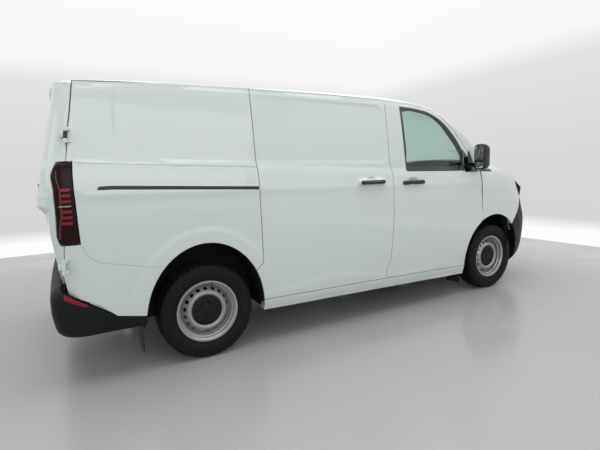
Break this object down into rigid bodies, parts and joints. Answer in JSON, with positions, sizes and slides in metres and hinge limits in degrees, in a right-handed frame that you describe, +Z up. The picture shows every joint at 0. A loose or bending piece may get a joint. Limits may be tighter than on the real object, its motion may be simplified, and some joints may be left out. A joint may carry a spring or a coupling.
{
  "type": "panel van",
  "caption": "One-box panel van with a short sloping bonnet, blank load sides, a sliding side door, hinged rear wing doors, cab doors and steered front wheels.",
  "frame": {"origin": "on the ground, below the middle of the overall box", "axes": "+X forward, +Y to the van's left, +Z up"},
  "size_m": [5.0502, 2.2744, 1.9842],
  "materials": {
    "white_paint": "gloss",
    "black_plastic": "grained",
    "glass_clear": "clear",
    "lamp_clear": "clear",
    "lamp_red": "smoked",
    "steel_silver": "satin silver",
    "tyre_rubber": "matte",
    "under_black": "satin black",
    "cast_metal": "raw",
    "exhaust_steel": "dull",
    "tank_plastic": "matte",
    "trim_grey": "grained",
    "seat_cloth": "woven"
  },
  "bodies": {
    "van_body": {"arch_liners": "black_plastic", "bonnet_hinges": "under_black", "chassis_rails": "under_black", "cowl_panel": "black_plastic", "dashboard": "trim_grey", "engine_block": "cast_metal", "exhaust": "exhaust_steel", "fender_left": "white_paint", "fender_right": "white_paint", "firewall": "white_paint", "floor_pan": "white_paint", "front_bumper": "black_plastic", "front_suspension": "under_black", "fuel_tank": "tank_plastic", "grille": "black_plastic", "headlamps": "lamp_clear", "inner_sills": "white_paint", "partition": "white_paint", "radiator": "cast_metal", "rear_axle": "under_black", "rear_bumper": "black_plastic", "rear_hinge_mounts": "white_paint", "roof_panel": "white_paint", "seats": "seat_cloth", "side_panel_left": "white_paint", "side_panel_right": "white_paint", "side_rail": "black_plastic", "sliding_door": "white_paint", "sliding_door_handle": "black_plastic", "steering_wheel": "trim_grey", "tail_lamps": "lamp_red", "windscreen": "glass_clear", "windscreen_frame": "white_paint"},
    "knuckle_right": {"knuckle_right": "cast_metal"},
    "knuckle_left": {"knuckle_left": "cast_metal"},
    "wheel_front_right": {"tyre_front_right": "tyre_rubber", "rim_front_right": "steel_silver"},
    "wheel_front_left": {"tyre_front_left": "tyre_rubber", "rim_front_left": "steel_silver"},
    "wheel_rear_right": {"tyre_rear_right": "tyre_rubber", "rim_rear_right": "steel_silver"},
    "wheel_rear_left": {"tyre_rear_left": "tyre_rubber", "rim_rear_left": "steel_silver"},
    "cab_door_right": {"door_right": "white_paint", "door_glass_right": "glass_clear", "door_handle_right": "black_plastic", "mirror_right": "black_plastic"},
    "cab_door_left": {"door_left": "white_paint", "door_glass_left": "glass_clear", "door_handle_left": "black_plastic", "mirror_left": "black_plastic"},
    "wing_door_right": {"rear_door_right": "white_paint", "rear_hinge_leaves_right": "white_paint"},
    "wing_door_left": {"rear_door_left": "white_paint", "rear_hinge_leaves_left": "white_paint"},
    "bonnet_lid": {"bonnet": "white_paint"}
  },
  "joints": [
    {"name": "steer_right", "type": "hinge", "parent": "van_body", "child": "knuckle_right", "pos_m": [1.541, -0.72, 0.343], "axis": [0, 0, 1], "range_deg": [-35, 35]},
    {"name": "steer_left", "type": "hinge", "parent": "van_body", "child": "knuckle_left", "pos_m": [1.541, 0.72, 0.343], "axis": [0, 0, 1], "range_deg": [-35, 35]},
    {"name": "spin_front_right", "type": "hinge", "parent": "knuckle_right", "child": "wheel_front_right", "pos_m": [1.541, -0.864, 0.343], "axis": [0, 1, 0], "continuous": true},
    {"name": "spin_front_left", "type": "hinge", "parent": "knuckle_left", "child": "wheel_front_left", "pos_m": [1.541, 0.864, 0.343], "axis": [0, 1, 0], "continuous": true},
    {"name": "spin_rear_right", "type": "hinge", "parent": "van_body", "child": "wheel_rear_right", "pos_m": [-1.559, -0.864, 0.343], "axis": [0, 1, 0], "continuous": true},
    {"name": "spin_rear_left", "type": "hinge", "parent": "van_body", "child": "wheel_rear_left", "pos_m": [-1.559, 0.864, 0.343], "axis": [0, 1, 0], "continuous": true},
    {"name": "cab_door_right_swing", "type": "hinge", "parent": "van_body", "child": "cab_door_right", "pos_m": [1.275, -0.968, 0.8], "axis": [0, 0, 1], "range_deg": [0, 70]},
    {"name": "cab_door_left_swing", "type": "hinge", "parent": "van_body", "child": "cab_door_left", "pos_m": [1.275, 0.968, 0.8], "axis": [0, 0, -1], "range_deg": [0, 70]},
    {"name": "wing_door_right_swing", "type": "hinge", "parent": "van_body", "child": "wing_door_right", "pos_m": [-2.417, -1.036, 0.8], "axis": [0.0979, 0.0799, 0.992], "range_deg": [0, 180]},
    {"name": "wing_door_left_swing", "type": "hinge", "parent": "van_body", "child": "wing_door_left", "pos_m": [-2.417, 1.036, 0.8], "axis": [-0.0979, 0.0799, -0.992], "range_deg": [0, 180]},
    {"name": "bonnet_lift", "type": "hinge", "parent": "van_body", "child": "bonnet_lid", "pos_m": [1.76, 0, 1.255], "axis": [0, -1, 0], "range_deg": [0, 55]}
  ],
  "couplings": [
    {"joint": "steer_left", "follows": "steer_right", "ratio": 1}
  ]
}
